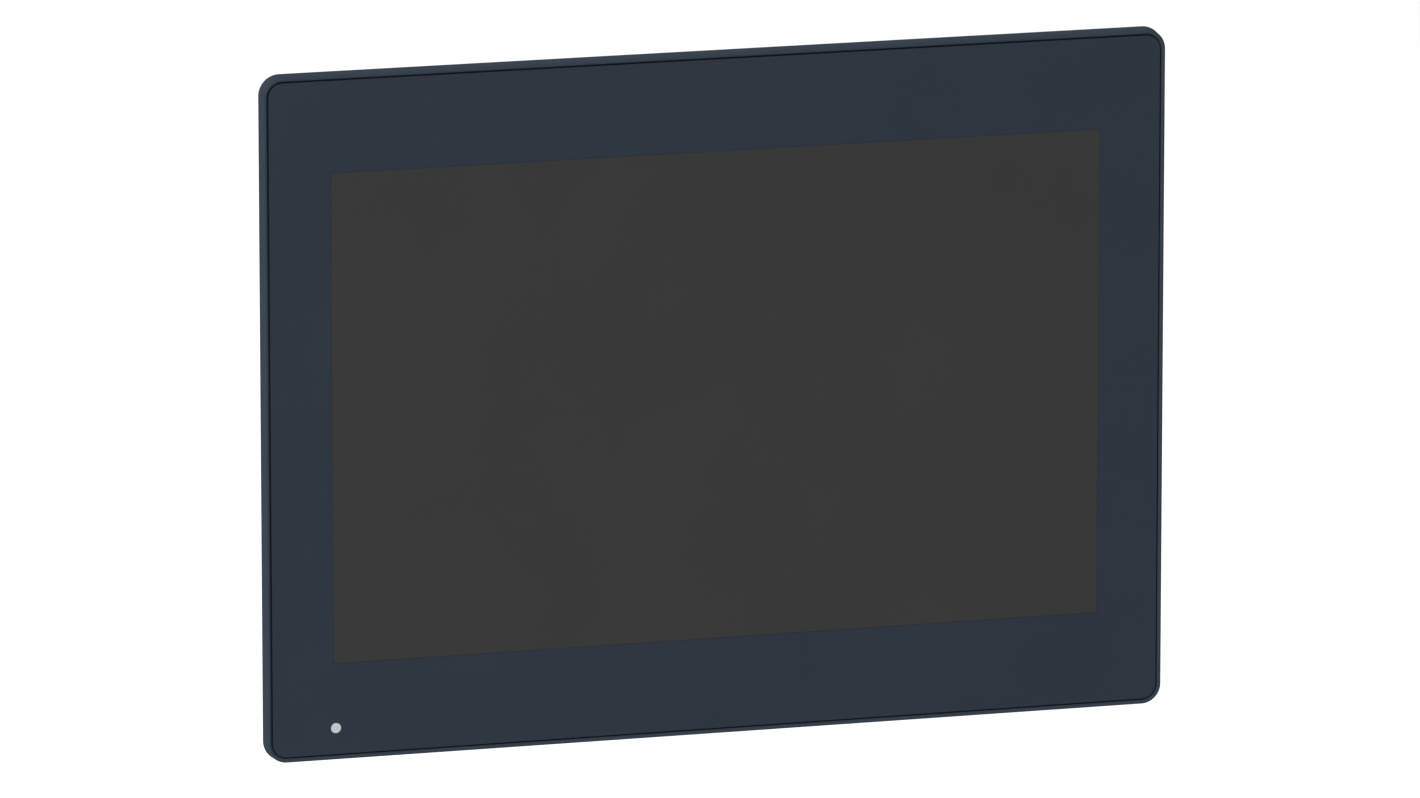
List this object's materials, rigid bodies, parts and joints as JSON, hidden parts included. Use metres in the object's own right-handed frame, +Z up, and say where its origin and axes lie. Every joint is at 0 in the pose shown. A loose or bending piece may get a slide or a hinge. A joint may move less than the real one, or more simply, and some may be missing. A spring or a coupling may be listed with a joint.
{
  "type": "hmi touch panel",
  "caption": "Panel-mount operator panel: thin dark bezel, flush wide touch screen, status light, stepped rear housing with ports, and swing-out clamps.",
  "frame": {"origin": "centre of the cabinet cut-out, on the plane of the flange's sealing face", "axes": "+X to the right seen from the front, +Y from the front into the cabinet, +Z up"},
  "size_m": [0.3084, 0.0536, 0.2304],
  "materials": {
    "bezel_plastic": "fine satin moulded texture, dark blue-grey",
    "printed_film": "printed polyester film, satin, dark blue-grey",
    "window_film": "hard-coated film over a switched-off screen, neutral dark grey",
    "clear_glass": "clear float glass or acrylic",
    "lens_plastic": "translucent light-grey light pipe",
    "seal_rubber": "matte closed-cell foam rubber",
    "zinc_steel": "zinc-plated steel",
    "circuit_laminate": "green solder mask on glass laminate",
    "flex_film": "amber polyimide film",
    "white_plastic": "white moulded plastic",
    "black_plastic": "black moulded plastic",
    "heat_sink_aluminium": "extruded aluminium",
    "terminal_plastic": "green terminal plastic",
    "connector_metal": "nickel-plated sheet",
    "card_plastic": "black card shell",
    "button_plastic": "off-white moulded button",
    "housing_plastic": "dark grey moulded housing with a fine texture",
    "label_foil": "silver foil, blank",
    "clamp_alloy": "die-cast zinc alloy"
  },
  "bodies": {
    "panel": {"front_bezel": "bezel_plastic", "border_overlay": "printed_film", "touch_window": "window_film", "touch_glass": "clear_glass", "status_light_pipe": "lens_plastic", "panel_gasket": "seal_rubber", "display_seal": "seal_rubber", "lcd_frame": "zinc_steel", "lcd_cell": "window_film", "light_guide": "clear_glass", "led_bar": "white_plastic", "backlight_tray": "zinc_steel", "lcd_driver_board": "circuit_laminate", "touch_flex": "flex_film", "display_cable": "white_plastic", "status_led_board": "circuit_laminate", "chassis_plate": "zinc_steel", "main_board": "circuit_laminate", "processor": "black_plastic", "heat_sink": "heat_sink_aluminium", "power_transformer": "black_plastic", "battery_holder": "black_plastic", "coin_cell": "zinc_steel", "buzzer": "black_plastic", "power_socket": "terminal_plastic", "serial_socket_1": "connector_metal", "serial_socket_2": "connector_metal", "network_socket_1": "connector_metal", "network_socket_2": "connector_metal", "usb_host_socket": "connector_metal", "usb_device_socket": "connector_metal", "card_socket": "connector_metal", "reset_switch": "black_plastic", "rear_housing": "housing_plastic", "door_hinge_pin": "zinc_steel", "rating_plate": "label_foil", "clamp_pivot_top_left": "zinc_steel", "housing_screw_top_left": "zinc_steel", "clamp_pivot_top_right": "zinc_steel", "housing_screw_top_right": "zinc_steel", "clamp_pivot_bottom_left": "zinc_steel", "housing_screw_bottom_left": "zinc_steel", "clamp_pivot_bottom_right": "zinc_steel", "housing_screw_bottom_right": "zinc_steel"},
    "service_door": {"service_door": "housing_plastic"},
    "memory_card": {"memory_card": "card_plastic"},
    "power_plug": {"power_plug": "terminal_plastic"},
    "reset_button": {"reset_button": "button_plastic"},
    "clamp_arm_top_left": {"clamp_arm_top_left": "clamp_alloy"},
    "clamp_foot_top_left": {"clamp_foot_top_left": "black_plastic"},
    "clamp_screw_top_left": {"clamp_screw_top_left": "zinc_steel"},
    "clamp_arm_top_right": {"clamp_arm_top_right": "clamp_alloy"},
    "clamp_foot_top_right": {"clamp_foot_top_right": "black_plastic"},
    "clamp_screw_top_right": {"clamp_screw_top_right": "zinc_steel"},
    "clamp_arm_bottom_left": {"clamp_arm_bottom_left": "clamp_alloy"},
    "clamp_foot_bottom_left": {"clamp_foot_bottom_left": "black_plastic"},
    "clamp_screw_bottom_left": {"clamp_screw_bottom_left": "zinc_steel"},
    "clamp_arm_bottom_right": {"clamp_arm_bottom_right": "clamp_alloy"},
    "clamp_foot_bottom_right": {"clamp_foot_bottom_right": "black_plastic"},
    "clamp_screw_bottom_right": {"clamp_screw_bottom_right": "zinc_steel"}
  },
  "joints": [
    {"name": "service_door_hinge", "type": "hinge", "parent": "panel", "child": "service_door", "pos_m": [0.0406, 0.0462, 0.04], "axis": [0, 0, 1], "range_deg": [0, 110]},
    {"name": "memory_card_slide", "type": "slide", "parent": "panel", "child": "memory_card", "axis": [1, 0, 0], "range_m": [0, 0.03]},
    {"name": "power_plug_slide", "type": "slide", "parent": "panel", "child": "power_plug", "axis": [0, 0, -1], "range_m": [0, 0.01]},
    {"name": "reset_button_press", "type": "slide", "parent": "panel", "child": "reset_button", "axis": [0, 0, 1], "range_m": [0, 0.0008], "stiffness_N_per_m": 1200, "springref_m": -0.0005},
    {"name": "clamp_swing_top_left", "type": "hinge", "parent": "panel", "child": "clamp_arm_top_left", "pos_m": [-0.112, 0.014, 0.1004], "axis": [0, -1, 0], "range_deg": [0, 90]},
    {"name": "clamp_feed_top_left", "type": "slide", "parent": "clamp_arm_top_left", "child": "clamp_foot_top_left", "axis": [0, -1, 0], "range_m": [0, 0.0049]},
    {"name": "clamp_turn_top_left", "type": "hinge", "parent": "clamp_foot_top_left", "child": "clamp_screw_top_left", "pos_m": [-0.1002, 0.02, 0.1004], "axis": [0, -1, 0], "range_deg": [0, 2525]},
    {"name": "clamp_swing_top_right", "type": "hinge", "parent": "panel", "child": "clamp_arm_top_right", "pos_m": [0.112, 0.014, 0.1004], "axis": [0, 1, 0], "range_deg": [0, 90]},
    {"name": "clamp_feed_top_right", "type": "slide", "parent": "clamp_arm_top_right", "child": "clamp_foot_top_right", "axis": [0, -1, 0], "range_m": [0, 0.0049]},
    {"name": "clamp_turn_top_right", "type": "hinge", "parent": "clamp_foot_top_right", "child": "clamp_screw_top_right", "pos_m": [0.1002, 0.02, 0.1004], "axis": [0, -1, 0], "range_deg": [0, 2525]},
    {"name": "clamp_swing_bottom_left", "type": "hinge", "parent": "panel", "child": "clamp_arm_bottom_left", "pos_m": [-0.112, 0.014, -0.1004], "axis": [0, 1, 0], "range_deg": [0, 90]},
    {"name": "clamp_feed_bottom_left", "type": "slide", "parent": "clamp_arm_bottom_left", "child": "clamp_foot_bottom_left", "axis": [0, -1, 0], "range_m": [0, 0.0049]},
    {"name": "clamp_turn_bottom_left", "type": "hinge", "parent": "clamp_foot_bottom_left", "child": "clamp_screw_bottom_left", "pos_m": [-0.1002, 0.02, -0.1004], "axis": [0, -1, 0], "range_deg": [0, 2525]},
    {"name": "clamp_swing_bottom_right", "type": "hinge", "parent": "panel", "child": "clamp_arm_bottom_right", "pos_m": [0.112, 0.014, -0.1004], "axis": [0, -1, 0], "range_deg": [0, 90]},
    {"name": "clamp_feed_bottom_right", "type": "slide", "parent": "clamp_arm_bottom_right", "child": "clamp_foot_bottom_right", "axis": [0, -1, 0], "range_m": [0, 0.0049]},
    {"name": "clamp_turn_bottom_right", "type": "hinge", "parent": "clamp_foot_bottom_right", "child": "clamp_screw_bottom_right", "pos_m": [0.1002, 0.02, -0.1004], "axis": [0, -1, 0], "range_deg": [0, 2525]}
  ],
  "couplings": [
    {"joint": "clamp_turn_top_left", "follows": "clamp_feed_top_left", "rad_per_m": 8976},
    {"joint": "clamp_turn_top_right", "follows": "clamp_feed_top_right", "rad_per_m": 8976},
    {"joint": "clamp_turn_bottom_left", "follows": "clamp_feed_bottom_left", "rad_per_m": 8976},
    {"joint": "clamp_turn_bottom_right", "follows": "clamp_feed_bottom_right", "rad_per_m": 8976}
  ]
}
